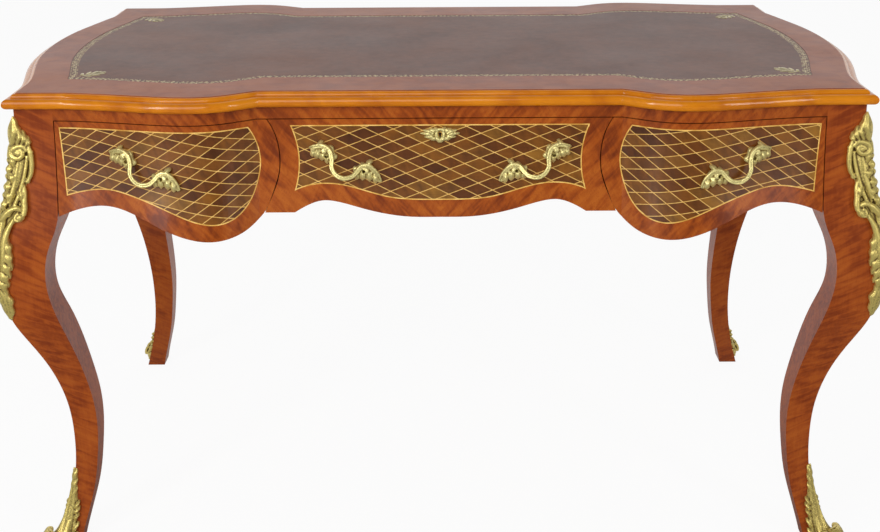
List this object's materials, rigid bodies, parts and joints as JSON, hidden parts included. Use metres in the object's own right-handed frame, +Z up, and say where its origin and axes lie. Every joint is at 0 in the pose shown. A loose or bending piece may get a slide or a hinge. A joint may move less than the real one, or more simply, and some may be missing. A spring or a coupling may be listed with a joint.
{
  "type": "writing desk",
  "caption": "Serpentine flat-topped writing desk on cabriole legs, with leather top, moulded edge, parquetry drawers and gilt mounts.",
  "frame": {"origin": "on the floor under the middle of the desk", "axes": "+X to the right of someone facing the drawers, +Y from the drawers to the back, +Z up"},
  "size_m": [1.4428, 0.8476, 0.795],
  "materials": {
    "figured_veneer": "polished",
    "parquetry": "polished",
    "border_veneer": "polished",
    "moulding_wood": "glossy",
    "inner_wood": "matt",
    "leather": "satin",
    "gilt_bronze": "satin",
    "steel": "satin"
  },
  "bodies": {
    "desk": {"back_lower_rail": "inner_wood", "back_panel_left": "figured_veneer", "back_panel_middle": "figured_veneer", "back_panel_right": "figured_veneer", "back_parquetry": "parquetry", "back_pull_bolts": "steel", "back_pulls": "gilt_bronze", "back_sabots": "gilt_bronze", "back_top_rail": "figured_veneer", "corner_blocks": "inner_wood", "drawer_dividers": "inner_wood", "drawer_guides": "inner_wood", "drawer_kickers": "inner_wood", "drawer_runners": "inner_wood", "edge_moulding_back": "moulding_wood", "edge_moulding_front": "moulding_wood", "edge_moulding_left": "moulding_wood", "edge_moulding_right": "moulding_wood", "front_lower_rail": "inner_wood", "front_sabots": "gilt_bronze", "front_top_rail": "figured_veneer", "knee_mount_back_left": "gilt_bronze", "knee_mount_back_right": "gilt_bronze", "knee_mount_front_left": "gilt_bronze", "knee_mount_front_right": "gilt_bronze", "leather_inset": "leather", "left_side_apron": "figured_veneer", "leg_back_left": "figured_veneer", "leg_back_right": "figured_veneer", "leg_front_left": "figured_veneer", "leg_front_right": "figured_veneer", "right_side_apron": "figured_veneer", "side_parquetry": "parquetry", "top_crossband": "border_veneer", "top_panel": "inner_wood", "top_screws": "steel"},
    "left_drawer": {"left_drawer_back": "inner_wood", "left_drawer_bottom": "inner_wood", "left_drawer_front": "figured_veneer", "left_drawer_parquetry": "parquetry", "left_drawer_pull": "gilt_bronze", "left_drawer_pull_bolts": "steel", "left_drawer_sides": "inner_wood"},
    "middle_drawer": {"escutcheon": "gilt_bronze", "lock_case": "steel", "middle_drawer_back": "inner_wood", "middle_drawer_bottom": "inner_wood", "middle_drawer_front": "figured_veneer", "middle_drawer_parquetry": "parquetry", "middle_drawer_pull_bolts": "steel", "middle_drawer_pulls": "gilt_bronze", "middle_drawer_sides": "inner_wood"},
    "right_drawer": {"right_drawer_back": "inner_wood", "right_drawer_bottom": "inner_wood", "right_drawer_front": "figured_veneer", "right_drawer_parquetry": "parquetry", "right_drawer_pull": "gilt_bronze", "right_drawer_pull_bolts": "steel", "right_drawer_sides": "inner_wood"},
    "lock_bolt": {"lock_bolt": "steel"}
  },
  "joints": [
    {"name": "left_drawer_slide", "type": "slide", "parent": "desk", "child": "left_drawer", "axis": [0, -1, 0], "range_m": [0, 0.4]},
    {"name": "middle_drawer_slide", "type": "slide", "parent": "desk", "child": "middle_drawer", "axis": [0, -1, 0], "range_m": [0, 0.4]},
    {"name": "right_drawer_slide", "type": "slide", "parent": "desk", "child": "right_drawer", "axis": [0, -1, 0], "range_m": [0, 0.4]},
    {"name": "lock_bolt_slide", "type": "slide", "parent": "middle_drawer", "child": "lock_bolt", "axis": [0, 0, 1], "range_m": [0, 0.009]}
  ]
}
